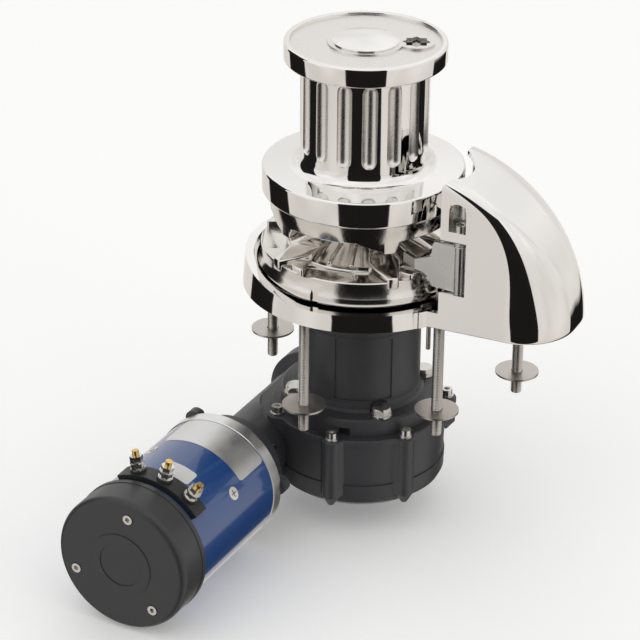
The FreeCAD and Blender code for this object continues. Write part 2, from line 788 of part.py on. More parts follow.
def worm_shaft():
    """The worm: a turned core and one right-hand thread."""
    root_r = worm_pitch_r - 1.2 * module
    pts = [
        (8.05, -112.0), (12.0, -112.0), (12.0, -72.0), (10.0, -72.0), (10.0, -43.0),
        (root_r, -43.0), (root_r, 37.5), (10.0, 37.5), (10.0, 52.0), (0, 52.0), (0, -72.0), (8.05, -72.0),
    ]
    core = turned_along_y(pts)
    pitch = math.pi * module
    tip_r = worm_pitch_r + module
    half_pitch = pitch / 4 - 0.08
    half_root = half_pitch + 1.2 * module * math.tan(math.radians(pressure_deg))
    half_tip = half_pitch - module * math.tan(math.radians(pressure_deg))
    turns = 5
    helix = Part.makeHelix(pitch, pitch * turns, root_r - 0.3)
    prof = [vec(root_r - 0.3, 0, -half_root), vec(tip_r, 0, -half_tip), vec(tip_r, 0, half_tip),
            vec(root_r - 0.3, 0, half_root)]
    wire = Part.makePolygon(prof + [prof[0]])
    thread = Part.Wire(helix).makePipeShell([wire], True, True)
    thread.translate(vec(0, 0, -pitch * turns / 2))
    thread.rotate(ORIGIN, X, -90)
    thread.rotate(ORIGIN, Y, 180)
    thread.translate(vec(worm_x, 0, worm_z))
    body = core.fuse(thread)
    return one(body)


def bearing_along_y(outer, inner, front, back):
    body = bar(outer, front, back).cut(bar(inner, front - 1, back + 1))
    step = (outer - inner) / 4
    for y0, y1 in ((front - 1, front + 0.4), (back - 0.4, back + 1)):
        body = body.cut(bar(outer - step, y0, y1).cut(bar(inner + step, y0 - 1, y1 + 1)))
    return one(body)


def worm_bearings():
    return [
        bearing_along_y(tunnel_bore_r, 10.01, -57.5, -43.5),
        bearing_along_y(tunnel_bore_r, 10.01, 38.0, 52.0),
    ]


def tunnel_cap():
    face = end_boss_back + 0.02
    body = turned_along_y([(0, 52.2), (tunnel_bore_r, 52.2), (tunnel_bore_r, face), (tunnel_cap_r, face),
                           (tunnel_cap_r, face + tunnel_cap_t), (0, face + tunnel_cap_t)])
    return rounded(body, [(tunnel_cap_r, face + tunnel_cap_t, 2.5)], "y")


def motor_adapter():
    body = turned_along_y([
        (24.0, -112.05), (46.0, -112.05), (52.0, -117.0), (56.0, ring_front + 0.05), (50.0, ring_front + 0.05),
        (50.0, -121.0), (24.0, -121.0)])
    tools = []
    for a in lug_degs:
        lug = bar(lug_r, ring_front + 0.05, ring_front + lug_t, worm_x + lug_place_r, worm_z)
        lug = lug.fuse(block(worm_x + 42, worm_x + lug_place_r, ring_front + 0.05, ring_front + lug_t,
                             worm_z - lug_r, worm_z + lug_r))
        tools.append(about_worm(lug, a))
    body = body.fuse(tools)
    cuts = []
    for a in lug_degs:
        cuts.append(about_worm(bar(2.8, -140, -110, worm_x + lug_place_r, worm_z), a))
        seat = bar(lug_head_r + 0.5, ring_front + lug_t, -105, worm_x + lug_place_r, worm_z)
        cuts.append(about_worm(seat, a))
    for a in adapter_screw_degs:
        cuts.append(about_worm(bar(3.2, -130, -100, worm_x + adapter_screw_place_r, worm_z), a))
    return one(cut_all(body, cuts))


def adapter_screws():
    out = []
    for a in adapter_screw_degs:
        place = worm_x + adapter_screw_place_r
        s = bar(3.0, -120.9, -94.0, place, worm_z).fuse(bar(5.0, -126.3, -121.02, place, worm_z))
        out.append(about_worm(one(s), a))
    return out


def ring_bolts():
    out = []
    for a in lug_degs:
        seat = ring_front + lug_t + 0.05
        s = bar(2.5, -136.0, seat, worm_x + lug_place_r, worm_z)
        s = s.fuse(bar(lug_head_r, seat, seat + 4.25, worm_x + lug_place_r, worm_z))
        out.append(about_worm(one(s), a))
    return out


def motor_ring():
    body = turned_along_y([
        (17.55, ring_front), (ring_r - 0.8, ring_front), (ring_r, ring_front - 0.8), (ring_r, ring_back + 0.6),
        (ring_r - 0.6, ring_back), (shell_in_r - 0.1, ring_back), (shell_in_r - 0.1, ring_back - 4.0),
        (shell_in_r - 8.0, ring_back - 4.0), (shell_in_r - 8.0, ring_back), (9.0, ring_back),
        (9.0, -139.0), (17.55, -139.0)])
    cuts = []
    for a in lug_degs:
        cuts.append(about_worm(bar(2.52, -136.5, -120, worm_x + lug_place_r, worm_z), a))
    return one(cut_all(body, cuts))


def motor_body():
    body = bar(shell_r, cap_front, ring_back - 0.05).cut(bar(shell_in_r, cap_front - 1, ring_back + 1))
    cuts = []
    for a in shell_screw_degs:
        hole = Part.makeCylinder(2.6, 30, vec(worm_x + 45, shell_screw_y, worm_z), X)
        cone = Part.makeCone(2.6, 6.2, 3.6, vec(worm_x + shell_r - 3.4, shell_screw_y, worm_z), X)
        cuts.append(about_worm(hole.fuse(cone), a))
    for a in terminal_degs:
        cuts.append(about_worm(Part.makeCylinder(3.6, 30, vec(worm_x + 45, terminal_y, worm_z), X), a))
    return one(cut_all(body, cuts))


def shell_screws():
    out = []
    for a in shell_screw_degs:
        shank = Part.makeCylinder(2.5, 8.0, vec(worm_x + 49.8, shell_screw_y, worm_z), X)
        cone = Part.makeCone(2.5, 5.9, 3.4, vec(worm_x + shell_r - 3.4, shell_screw_y, worm_z), X)
        slots = [
            block(worm_x + shell_r - 1.6, worm_x + shell_r + 1, shell_screw_y - 3.4, shell_screw_y + 3.4,
                  worm_z - 0.6, worm_z + 0.6),
            block(worm_x + shell_r - 1.6, worm_x + shell_r + 1, shell_screw_y - 0.6, shell_screw_y + 0.6,
                  worm_z - 3.4, worm_z + 3.4),
        ]
        s = cut_all(shank.fuse(cone), slots)
        out.append(about_worm(one(s), a))
    return out


def field_magnets():
    out = []
    shell = bar(shell_in_r - 0.05, -250.0, -150.0).cut(bar(47.0, -251, -149))
    for a in (75.0, 255.0):
        far = 90.0
        half = math.radians(62)
        pts = [vec(worm_x, -260, worm_z)]
        for i in range(7):
            t = -half + 2 * half * i / 6
            pts.append(vec(worm_x + far * math.cos(t), -260, worm_z + far * math.sin(t)))
        wedge = Part.Face(Part.makePolygon(pts + [pts[0]])).extrude(vec(0, 120, 0))
        part = shell.common(wedge)
        hole = Part.makeCylinder(2.52, 30, vec(worm_x + 40, shell_screw_y, worm_z), X)
        part = about_worm(part, a)
        for b in shell_screw_degs:
            part = part.cut(about_worm(hole, b))
        out.append(one(part))
    return out


def armature():
    """Rotor core with its slots, commutator and shaft."""
    body = turned_along_y([
        (0, -292.0), (7.5, -292.0), (7.5, -270.0), (8.9, -270.0), (8.9, -262.0), (22.0, -262.0), (22.0, -248.0),
        (8.9, -248.0), (8.9, -242.0), (46.0, -242.0), (46.0, -158.0), (8.9, -158.0), (8.9, -139.5),
        (7.5, -139.5), (7.5, -126.0), (8.0, -126.0), (8.0, -74.0), (0, -74.0)])
    cuts = []
    for i in range(12):
        slot = block(worm_x + 34, worm_x + 50, -243, -157, worm_z - 1.4, worm_z + 1.4)
        cuts.append(about_worm(slot, 30 * i))
    return one(cut_all(body, cuts))


def motor_bearings():
    return [
        bearing_along_y(17.5, 7.51, -138.9, -127.9),
        bearing_along_y(17.5, 7.51, -284.0, -273.0),
    ]


def motor_end_cap():
    body = turned_along_y([
        (0, cap_back), (cap_out_r, cap_back), (cap_out_r, cap_front - 2.0), (cap_out_r - 1.6, cap_front - 0.05),
        (shell_in_r + 1, cap_front - 0.05), (shell_in_r + 1, -272.0), (17.55, -272.0), (17.55, -285.0),
        (9.0, -285.0), (9.0, -294.0), (0, -294.0)])
    body = rounded(body, [(cap_out_r, cap_back, 6.0)], "y")
    lip = bar(cap_out_r + 0.5, cap_front - 7.0, cap_front - 2.2).cut(bar(cap_out_r - 3, -300, -250))
    ring = bar(29.0, cap_back - 0.7, cap_back + 1).cut(bar(20.0, cap_back - 2, cap_back + 2))
    body = body.fuse([ring, lip])
    cuts = []
    for a in cap_screw_degs:
        cuts.append(about_worm(bar(5.0, cap_back - 5, cap_back + 3.2, worm_x + cap_screw_place_r, worm_z), a))
        cuts.append(about_worm(bar(2.52, cap_back - 5, cap_back + 22.0, worm_x + cap_screw_place_r, worm_z), a))
    return one(cut_all(body, cuts))


def cap_screws():
    out = []
    for a in cap_screw_degs:
        x = worm_x + cap_screw_place_r
        head = bar(4.4, cap_back - 0.6, cap_back + 3.18, x, worm_z)
        socket = Part.Face(Part.makePolygon([
            vec(x + 2.3 * math.cos(math.radians(60 * i)), cap_back - 1,
                worm_z + 2.3 * math.sin(math.radians(60 * i)))
            for i in range(7)])).extrude(vec(0, 3.0, 0))
        s = head.cut(socket).fuse(bar(2.5, cap_back + 3.0, cap_back + 21.0, x, worm_z))
        out.append(about_worm(one(s), a))
    return out


def radial(shape, degrees):
    """Take a piece made on +Z at the motor's axis to its angle on the shell."""
    return about_worm(shape, degrees - 90.0)


def terminal_block():
    ring = bar(64.5, terminal_y - 8.5, terminal_y + 8.5).cut(bar(shell_r + 0.05, -280, -230))
    half = math.radians(38)
    pts = [vec(worm_x, -270, worm_z)]
    for i in range(9):
        t = math.radians(76.0) - half + 2 * half * i / 8
        pts.append(vec(worm_x + 110 * math.cos(t), -270, worm_z + 110 * math.sin(t)))
    wedge = Part.Face(Part.makePolygon(pts + [pts[0]])).extrude(vec(0, 60, 0))
    body = ring.common(wedge)
    pads = []
    cuts = []
    for a in terminal_degs:
        pads.append(radial(rod(7.0, worm_z + shell_r + 3, worm_z + 66.5, worm_x, terminal_y), a))
        cuts.append(radial(rod(3.05, worm_z + 40, worm_z + 90, worm_x, terminal_y), a))
    return one(cut_all(body.fuse(pads), cuts))


def terminal_studs():
    return [radial(rod(3.0, worm_z + 55.0, worm_z + 84.0, worm_x, terminal_y), a) for a in terminal_degs]


def terminal_washers():
    out = []
    for a in terminal_degs:
        out.append(radial(pipe(6.4, 3.05, worm_z + 66.52, worm_z + 67.7, worm_x, terminal_y), a))
        out.append(radial(pipe(6.4, 3.05, worm_z + 72.8, worm_z + 74.0, worm_x, terminal_y), a))
    return out


def terminal_nuts():
    out = []
    for a in terminal_degs:
        for low, high in ((67.75, 72.75), (74.05, 79.0)):
            nut = hexagon(10.0, worm_z + low, worm_z + high, worm_x, terminal_y, a)
            nut = nut.cut(rod(3.02, worm_z + 40, worm_z + 90, worm_x, terminal_y))
            out.append(radial(nut, a))
    return out


def deck_studs():
    """The free end at the thread's full size; above it the mean size, which the nut and the base take."""
    out = []
    for x, y, low, washer in studs:
        under_nut = washer - stud_washer_t - stud_nut_t - 0.5
        body = rod(stud_shank_r, under_nut, stud_top - 0.1, x, y)
        free = rod(stud_r, low + 1.0, under_nut, x, y)
        tip = Part.makeCone(stud_r - 1.0, stud_r, 1.0, vec(x, y, low))
        out.append(one(body.fuse([free, tip])))
    return out


def stud_washers():
    out = []
    for x, y, low, washer in studs:
        out.append(pipe(stud_washer_r, stud_r + 0.3, washer - stud_washer_t, washer, x, y))
    return out


def stud_nuts():
    out = []
    for x, y, low, washer in studs:
        top = washer - stud_washer_t - 0.02
        nut = hexagon(16.0, top - stud_nut_t, top, x, y, 20)
        cone = Part.makeCone(7.8, 10.6, 5.0, vec(x, y, top - stud_nut_t))
        nut = nut.common(cone).cut(rod(stud_shank_r + 0.02, low, 0, x, y))
        out.append(one(nut))
    return out


os.makedirs("parts", exist_ok=True)
save("base_plate", base_plate())
save("capstan_drum", capstan_drum())
save("drum_cap", drum_cap())
save("top_nut", top_nut())
save("top_washer", top_washer())
save("chainwheel_lower", chainwheel_lower())
save("chainwheel_upper", chainwheel_upper())
save("lower_cone", clutch_cone(False))
save("upper_cone", clutch_cone(True))
save("clutch_keys", clutch_keys())
save("main_shaft", main_shaft())
save("wheel_key", wheel_key())
save("control_arm", control_arm())
save("arm_pivot_screw", arm_pivot_screw())
save("arm_spring", arm_spring())
save("chain_stripper", chain_stripper())
save("stripper_screw", stripper_screw())
save("shaft_seal", shaft_seal())
save("upper_bearing", ball_bearing(upper_bearing_r, shaft_low_r + 0.01, upper_bearing_low + 0.1,
                                   upper_bearing_low + 0.1 + upper_bearing_t))
save("lower_bearing", ball_bearing(lower_bearing_r, journal_r + 0.01, case_in_floor - 0.4 - lower_bearing_t,
                                   case_in_floor - 0.4))
save("spacer_tube", spacer_tube())
save("neck_bolts", neck_bolts())
save("neck_washers", neck_washers())
save("gearbox_lid", gearbox_lid())
save("gearbox_case", gearbox_case())
save("lid_screws", lid_screws())
save("lid_washers", lid_washers())
save("worm_wheel", worm_wheel())
save("worm_shaft", worm_shaft())
save("worm_bearings", worm_bearings())
save("tunnel_cap", tunnel_cap())
save("motor_adapter", motor_adapter())
save("adapter_screws", adapter_screws())
save("ring_bolts", ring_bolts())
save("motor_ring", motor_ring())
save("motor_body", motor_body())
save("shell_screws", shell_screws())
save("field_magnets", field_magnets())
save("armature", armature())
save("motor_bearings", motor_bearings())
save("motor_end_cap", motor_end_cap())
save("cap_screws", cap_screws())
save("terminal_block", terminal_block())
save("terminal_studs", terminal_studs())
save("terminal_washers", terminal_washers())
save("terminal_nuts", terminal_nuts())
save("deck_studs", deck_studs())
save("stud_washers", stud_washers())
save("stud_nuts", stud_nuts())
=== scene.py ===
import bmesh
import bpy
import json
import math
from mathutils import Matrix, Vector


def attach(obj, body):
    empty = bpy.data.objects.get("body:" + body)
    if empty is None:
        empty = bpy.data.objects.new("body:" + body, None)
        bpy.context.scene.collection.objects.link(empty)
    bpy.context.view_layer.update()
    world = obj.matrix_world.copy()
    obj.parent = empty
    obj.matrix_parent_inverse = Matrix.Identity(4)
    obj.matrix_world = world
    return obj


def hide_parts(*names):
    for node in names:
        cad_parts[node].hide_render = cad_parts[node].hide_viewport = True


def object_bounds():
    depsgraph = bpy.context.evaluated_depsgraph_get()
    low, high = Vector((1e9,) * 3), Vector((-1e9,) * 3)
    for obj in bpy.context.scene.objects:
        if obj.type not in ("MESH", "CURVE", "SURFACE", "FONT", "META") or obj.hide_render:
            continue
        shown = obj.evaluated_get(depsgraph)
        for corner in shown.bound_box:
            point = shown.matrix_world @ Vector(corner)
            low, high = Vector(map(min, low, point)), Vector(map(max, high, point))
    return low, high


# Deck capstan: finishes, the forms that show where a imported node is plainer, studio and camera.
# Blender works in metres. The forms' sizes are in millimetres, in the model's own frame.

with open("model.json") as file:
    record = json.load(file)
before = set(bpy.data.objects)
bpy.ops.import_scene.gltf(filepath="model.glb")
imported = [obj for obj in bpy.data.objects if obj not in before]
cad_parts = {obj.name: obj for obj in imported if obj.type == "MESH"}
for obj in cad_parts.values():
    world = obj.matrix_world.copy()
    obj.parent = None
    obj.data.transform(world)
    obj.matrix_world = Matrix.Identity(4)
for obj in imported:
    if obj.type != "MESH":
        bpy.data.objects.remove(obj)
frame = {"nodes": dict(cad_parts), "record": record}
cad_low, cad_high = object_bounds()
nodes = frame["nodes"]
slot_of = {s["node"]: s["material_slot"] for s in frame["record"]["subparts"]}

# the camera that took the photograph: place, view direction, roll and lens
camera_place = Vector((0.96766, -1.94082, 1.06474))
camera_looks = Vector((-0.41094, 0.79038, -0.45435)).normalized()
camera_roll = math.radians(0.59)
camera_lens = 152.61
sensor_width = 36.0

# the floor lies just under the lowest piece, and the studio is turned to face the camera's bearing
floor_drop = 0.0015
floor_half = 6.0
floor_glow = 0.20
heading = math.atan2(-camera_looks.y, -camera_looks.x)

# dark gaps in the studio's white walls: bearing from the camera and half width in degrees, and the
# height at which each ends, on a sphere of radius 1
dark_gaps = ((0.0, 28.5, 0.55), (-113.5, 19.5, 0.55), (129.5, 20.5, -0.34))
gap_edge = 0.01
gap_fade = 0.05
gap_level = 0.015

# the walls' brightness from low to high, and how much soft clouds vary it
wall_levels = (0.80, 1.04)
cloud_levels = (0.86, 1.04)

# regions of the polished pieces that are left as cast, in metres: from, to, and how softly they fade
cast_crown = {"radius": (0.0290, 0.0655, 0.0001), "z": (0.2235, 0.2272, 0.0002)}
cast_flutes = {"radius": (0.030, 0.0557, 0.0002), "z": (0.125, 0.208, 0.001)}
cast_hollow = {"x": (0.1075, 0.1265, 0.0002), "y": (-0.0545, -0.040, 0.0002), "z": (0.030, 0.122, 0.0002)}

# drum: radii and heights, then the handle's socket and the flutes
drum_steps = 240
drum_bore_r = 15.08
drum_hub_r = 24.0
drum_low = 89.65
barrel_r = 56.05
barrel_inner_r = 48.05
barrel_roof = 186.0
nut_seat = 196.0
skirt_r = 88.9
skirt_inner_r = 75.9
skirt_top = 113.87
root_top = 115.4
root_r = 11.0
crown_low = 210.7
crown_r = 70.4
crown_top = 228.1
crown_floor = 225.0
disc_r = 33.5
disc_top = 226.6
socket_turn = 25.4
socket_place_r = 43.1
socket_floor = 214.6
socket_pad_r = 16.2
star_corners = 16
star_point_r = 12.35
star_notch_r = 9.47
flutes = 16
flute_first = -58.8
flute_axis_r = 59.2
flute_low = 137.5
flute_high = 200.0
flute_r = 7.5
flute_sides = 40

# chainwheel: pockets and ribs are counted from the photograph
pockets = 5
pocket_first = -82.0
half_pocket = 180.0 / pockets
ribs = 20
rib_r = 1.4
rib_outer_r = 2.3
wheel_bore_r = 17.06
wheel_low = 17.5
wheel_seat_z = 37.5
wheel_split = 57.0
wheel_top_seat_z = 68.5
wheel_top = 88.5
wheel_rim_r = 93.5
wheel_top_r = 81.5
seat_floor = 37.7
link_end_r = 10.5
link_end_x = 77.5
link_end_y = 11.5
tooth_foot = 33.0
tooth_tops = [50.0, 47.6, 43.6, 43.6, 47.6, 50.0]
stop_foot = 34.0
stop_top = 43.8
lobe_rim_r = 81.2

# base casting and chain-pipe cover
deck_edge_r = 107.0
deck_edge_top = 15.3
floor_top = 8.0
recess_r = 96.0
cover_axis_x = 60.0
cover_turn = 2.4
cover_near = 60.5
cover_far = 52.0
cover_reach = 207.0
cover_edge_r = 10.0
cover_foot_corner_r = 48.0
cover_blend_starts = 58.0
cover_blend_span = 50.0
cover_arc_steps = 24
cover_wall = 5.0
cover_foot_swing = 2.0
cover_foot_round = 4.0
cover_swings = 60
trim_limits = (59.0, 215.0, -80.0, 80.0, -2.0, 220.0)
trim_gap = 0.2
window_limits = (77.5, 125.0, -70.0, -43.5, 35.7, 85.5)
weld_distance = 0.000002
mouth_x = 75.0
mouth_y = -27.0
mouth_r = 39.5
mouth_low = 15.2
pivot_x = 117.5
pivot_y = -50.0
pivot_hole_r = 3.3
pipe_x = 146.0
pipe_r = 26.0
hollow_x = 116.5
hollow_y = -51.0
hollow_low = 94.4
hollow_r = 7.8
hollow_arch = 113.0

# deck studs: place and lowest point of each, then the thread
studs = ((-90.0, 0.0, -98.0), (-10.5, -88.5, -112.0), (98.5, -46.0, -108.5), (134.5, 45.0, -99.6))
stud_hole_r = 4.62
stud_hole_top = 7.5
stud_r = 4.98
stud_top = 7.4
stud_tip = 1.0
thread_depth = 0.75
thread_pitch = 1.5
rows_per_turn = 6
thinnest_r = 0.5

# the motor's axis and the bare plates on its shell
motor_x = -71.8
motor_z = -155.0
plate_under = 58.84
plate_corner_r = 3.0
plate_columns = 48


class Nodes:
    """A short way to write a node tree."""

    def __init__(self, tree):
        self.tree = tree
        self.tree.nodes.clear()

    def add(self, kind, links=None, **settings):
        node = self.tree.nodes.new(kind)
        for key, value in settings.items():
            setattr(node, key, value)
        for key, value in (links or {}).items():
            self.put(node.inputs[key], value)
        return node

    def put(self, socket, value):
        if isinstance(value, bpy.types.NodeSocket):
            self.tree.links.new(value, socket)
        else:
            socket.default_value = value

    def math(self, operation, a, b=0.0):
        node = self.add("ShaderNodeMath", operation=operation)
        self.put(node.inputs[0], a)
        self.put(node.inputs[1], b)
        return node.outputs[0]

    def noise(self, place, scale, detail=3.0, roughness=0.5):
        node = self.add("ShaderNodeTexNoise", {
            "Vector": place, "Scale": scale, "Detail": detail, "Roughness": roughness})
        return node.outputs["Fac"]

    def spread(self, value, low, high, to_low, to_high):
        """Map a value from one range to another, and stop at the ends."""
        node = self.add("ShaderNodeMapRange", {
            "Value": value, "From Min": low, "From Max": high, "To Min": to_low, "To Max": to_high})
        return node.outputs["Result"]

    def mix(self, share, a, b):
        node = self.add("ShaderNodeMix", data_type="RGBA")
        self.put(node.inputs["Factor"], share)
        self.put(node.inputs["A"], a)
        self.put(node.inputs["B"], b)
        return node.outputs["Result"]

    def bump(self, height, distance, strength=1.0, normal=None):
        links = {"Height": height, "Distance": distance, "Strength": strength}
        if normal is not None:
            links["Normal"] = normal
        return self.add("ShaderNodeBump", links).outputs["Normal"]


def rgba(colour):
    return (colour[0], colour[1], colour[2], 1.0)


def start(name):
    """A new material, its node writer, its shader and its place socket in the row's own frame."""
    made = bpy.data.materials.new(name)
    made.use_nodes = True
    n = Nodes(made.node_tree)
    out = n.add("ShaderNodeOutputMaterial")
    shader = n.add("ShaderNodeBsdfPrincipled")
    n.tree.links.new(shader.outputs["BSDF"], out.inputs["Surface"])
    place = n.add("ShaderNodeTexCoord").outputs["Object"]
    return made, n, shader, place


def inside(n, value, low, high, soft):
    """1 where the value lies between low and high, fading over soft."""
    above = n.spread(value, low - soft, low + soft, 0.0, 1.0)
    below = n.spread(value, high - soft, high + soft, 1.0, 0.0)
    return n.math("MULTIPLY", above, below)


def region(n, found, limits):
    """1 inside all the given limits of the found coordinates."""
    shares = [inside(n, found[axis], *limit) for axis, limit in limits.items()]
    share = shares[0]
    for other in shares[1:]:
        share = n.math("MULTIPLY", share, other)
    return share


def polished_steel():
    """Mirror-polished stainless, left as cast on the crown, in the flutes and in the screw's hollow."""
    made, n, shader, place = start("polished_steel")
    shader.inputs["Metallic"].default_value = 1.0
    parts = n.add("ShaderNodeSeparateXYZ", {"Vector": place})
    found = {"x": parts.outputs["X"], "y": parts.outputs["Y"], "z": parts.outputs["Z"]}
    flat = n.add("ShaderNodeCombineXYZ", {"X": found["x"], "Y": found["y"], "Z": 0.0})
    length = n.add("ShaderNodeVectorMath", operation="LENGTH")
    n.put(length.inputs[0], flat.outputs["Vector"])
    found["radius"] = length.outputs["Value"]
    cast = n.math("MAXIMUM", region(n, found, cast_crown), region(n, found, cast_flutes))
    cast = n.math("MAXIMUM", cast, region(n, found, cast_hollow))
    haze = n.noise(place, 45.0, 4.0)
    mirror = n.spread(haze, 0.35, 0.75, 0.03, 0.07)
    grain = n.noise(place, 900.0, 4.0, 0.6)
    rough = n.spread(grain, 0.3, 0.7, 0.24, 0.38)
    share = n.math("MULTIPLY", n.math("SUBTRACT", rough, mirror), cast)
    n.put(shader.inputs["Roughness"], n.math("ADD", mirror, share))
    tint = n.noise(place, 12.0, 2.0)
    bright = n.mix(tint, rgba((0.84, 0.825, 0.80)), rgba((0.89, 0.88, 0.865)))
    n.put(shader.inputs["Base Color"], n.mix(cast, bright, rgba((0.80, 0.775, 0.745))))
    wave = n.noise(place, 28.0, 1.0)
    waved = n.bump(wave, 0.00002, 0.35)
    n.put(shader.inputs["Normal"], n.bump(grain, 0.00008, cast, waved))
    return made


def satin_steel(name, colour, rough_low, rough_high, grain=900.0, depth=0.00006):
    """Cast or ground stainless with a fine grain."""
    made, n, shader, place = start(name)
    shader.inputs["Metallic"].default_value = 1.0
    fine = n.noise(place, grain, 4.0, 0.6)
    broad = n.noise(place, 60.0, 3.0)
    n.put(shader.inputs["Roughness"], n.spread(broad, 0.3, 0.7, rough_low, rough_high))
    dark = tuple(c * 0.86 for c in colour)
    n.put(shader.inputs["Base Color"], n.mix(broad, rgba(dark), rgba(colour)))
    n.put(shader.inputs["Normal"], n.bump(fine, depth, 0.25))
    return made


def powder_coat(name, colour, rough, grain=700.0, depth=0.00005):
    """Black coating over a casting: fine orange peel and a little dust in the tone."""
    made, n, shader, place = start(name)
    peel = n.noise(place, grain, 2.0, 0.5)
    tone = n.noise(place, 35.0, 3.0)
    light = tuple(c * 1.25 for c in colour)
    n.put(shader.inputs["Base Color"], n.mix(tone, rgba(colour), rgba(light)))
    n.put(shader.inputs["Roughness"], n.spread(tone, 0.3, 0.7, rough - 0.06, rough + 0.06))
    n.put(shader.inputs["Normal"], n.bump(peel, depth, 0.6))
    return made


def gloss_enamel():
    """Deep blue gloss enamel under a clear coat."""
    made, n, shader, place = start("motor_blue")
    tone = n.noise(place, 20.0, 2.0)
    deep = rgba((0.006, 0.050, 0.200))
    light = rgba((0.009, 0.066, 0.250))
    n.put(shader.inputs["Base Color"], n.mix(tone, deep, light))
    shader.inputs["Roughness"].default_value = 0.32
    shader.inputs["Coat Weight"].default_value = 1.0
    shader.inputs["Coat Roughness"].default_value = 0.06
    peel = n.noise(place, 160.0, 2.0)
    n.put(shader.inputs["Normal"], n.bump(peel, 0.00003, 0.3))
    return made


def brass(name, colour, rough):
    """Brass or bronze, a little uneven in tone."""
    made, n, shader, place = start(name)
    shader.inputs["Metallic"].default_value = 1.0
    tone = n.noise(place, 300.0, 3.0)
    dark = tuple(c * 0.8 for c in colour)
    n.put(shader.inputs["Base Color"], n.mix(tone, rgba(dark), rgba(colour)))
    n.put(shader.inputs["Roughness"], n.spread(tone, 0.3, 0.7, rough * 0.8, rough * 1.2))
    return made


materials = {
    "polished_steel": polished_steel(),
    "wheel_steel": satin_steel("wheel_steel", (0.80, 0.77, 0.73), 0.08, 0.17, 420.0, 0.00016),
    "satin_steel": satin_steel("satin_steel", (0.66, 0.66, 0.65), 0.22, 0.34),
    "stud_steel": satin_steel("stud_steel", (0.60, 0.57, 0.53), 0.28, 0.42),
    "bright_fasteners": satin_steel("bright_fasteners", (0.76, 0.75, 0.72), 0.22, 0.34),
    "black_fasteners": powder_coat("black_fasteners", (0.012, 0.012, 0.013), 0.4),
    "black_casting": powder_coat("black_casting", (0.043, 0.044, 0.048), 0.42),
    "black_cap": powder_coat("black_cap", (0.030, 0.031, 0.033), 0.40, 300.0, 0.00002),
    "black_plastic": powder_coat("black_plastic", (0.022, 0.022, 0.022), 0.45),
    "motor_blue": gloss_enamel(),
    "ring_silver": satin_steel("ring_silver", (0.86, 0.86, 0.85), 0.30, 0.38),
    "terminal_brass": brass("terminal_brass", (0.88, 0.62, 0.22), 0.22),
    "nickel": satin_steel("nickel", (0.80, 0.79, 0.76), 0.14, 0.24),
    "label_silver": satin_steel("label_silver", (0.78, 0.78, 0.77), 0.36, 0.46, 1500.0, 0.00001),
    "label_white": powder_coat("label_white", (0.60, 0.60, 0.59), 0.5, 1500.0, 0.00001),
    "bronze": brass("bronze", (0.62, 0.40, 0.18), 0.3),
    "bearing_steel": satin_steel("bearing_steel", (0.55, 0.55, 0.55), 0.2, 0.3),
    "magnet_grey": powder_coat("magnet_grey", (0.05, 0.05, 0.052), 0.6),
    "seal_rubber": powder_coat("seal_rubber", (0.015, 0.015, 0.015), 0.7),
}


def placed(name, data):
    """A new object in the scene that holds this mesh or camera."""
    made = bpy.data.objects.new(name, data)
    bpy.context.scene.collection.objects.link(made)
    return made


def made_of(name, points, faces):
    """An object from points in millimetres, with its faces turned outwards."""
    mesh = bpy.data.meshes.new(name)
    mesh.from_pydata([tuple(c * 0.001 for c in p) for p in points], [], faces)
    work = bmesh.new()
    work.from_mesh(mesh)
    bmesh.ops.recalc_face_normals(work, faces=work.faces)
    work.to_mesh(mesh)
    work.free()
    return placed(name, mesh)


def rings(count, width, closed):
    """Faces between count rings of width points each; closed also joins the last ring to the first."""
    faces = []
    for i in range(count if closed else count - 1):
        j = (i + 1) % count
        for k in range(width):
            m = (k + 1) % width
            faces.append((i * width + k, i * width + m, j * width + m, j * width + k))
    return faces


def lofted(name, points, width):
    """A solid through rings of width points each, closed at both ends."""
    faces = rings(len(points) // width, width, False)
    faces += [tuple(range(width)), tuple(range(len(points) - width, len(points)))]
    return made_of(name, points, faces)


def turned(name, profile, steps=180):
    """A ring turned about Z from a closed profile of (radius, height)."""
    points = []
    for i in range(steps):
        a = 2 * math.pi * i / steps
        points.extend((r * math.cos(a), r * math.sin(a), z) for r, z in profile)
    return made_of(name, points, rings(steps, len(profile), True))


def between(name, points):
    """A solid between two outlines with as many points each, listed one after the other."""
    count = len(points) // 2
    faces = [tuple(range(count)), tuple(range(count, 2 * count))]
    faces += [(k, (k + 1) % count, count + (k + 1) % count, count + k) for k in range(count)]
    return made_of(name, points, faces)


def prism(name, outline, low, high):
    """An upright prism; high is one height, or a list with one for each corner."""
    tops = high if isinstance(high, list) else [high] * len(outline)
    points = [(x, y, low) for x, y in outline]
    points += [(x, y, z) for (x, y), z in zip(outline, tops)]
    return between(name, points)


def disc_outline(radius, x=0.0, y=0.0, steps=72, first=0.0, sweep=360.0):
    """Points on a circle, or on an arc of sweep degrees from first."""
    whole = steps if sweep == 360.0 else steps + 1
    out = []
    for i in range(whole):
        a = math.radians(first + sweep * i / steps)
        out.append((x + radius * math.cos(a), y + radius * math.sin(a)))
    return out


def rod(name, radius, low, high, x=0.0, y=0.0, steps=96):
    """An upright round bar."""
    return prism(name, disc_outline(radius, x, y, steps), low, high)


def block(name, x0, x1, y0, y1, z0, z1):
    """A square block between these limits."""
    return prism(name, [(x0, y0), (x1, y0), (x1, y1), (x0, y1)], z0, z1)


def drop(thing):
    """Delete an object and its mesh."""
    mesh = thing.data
    bpy.data.objects.remove(thing)
    bpy.data.meshes.remove(mesh)


def settled(thing):
    """Make the result of the modifiers the object's own mesh."""
    graph = bpy.context.evaluated_depsgraph_get()
    graph.update()
    mesh = bpy.data.meshes.new_from_object(thing.evaluated_get(graph))
    thing.modifiers.clear()
    old = thing.data
    thing.data = mesh
    bpy.data.meshes.remove(old)
    return thing


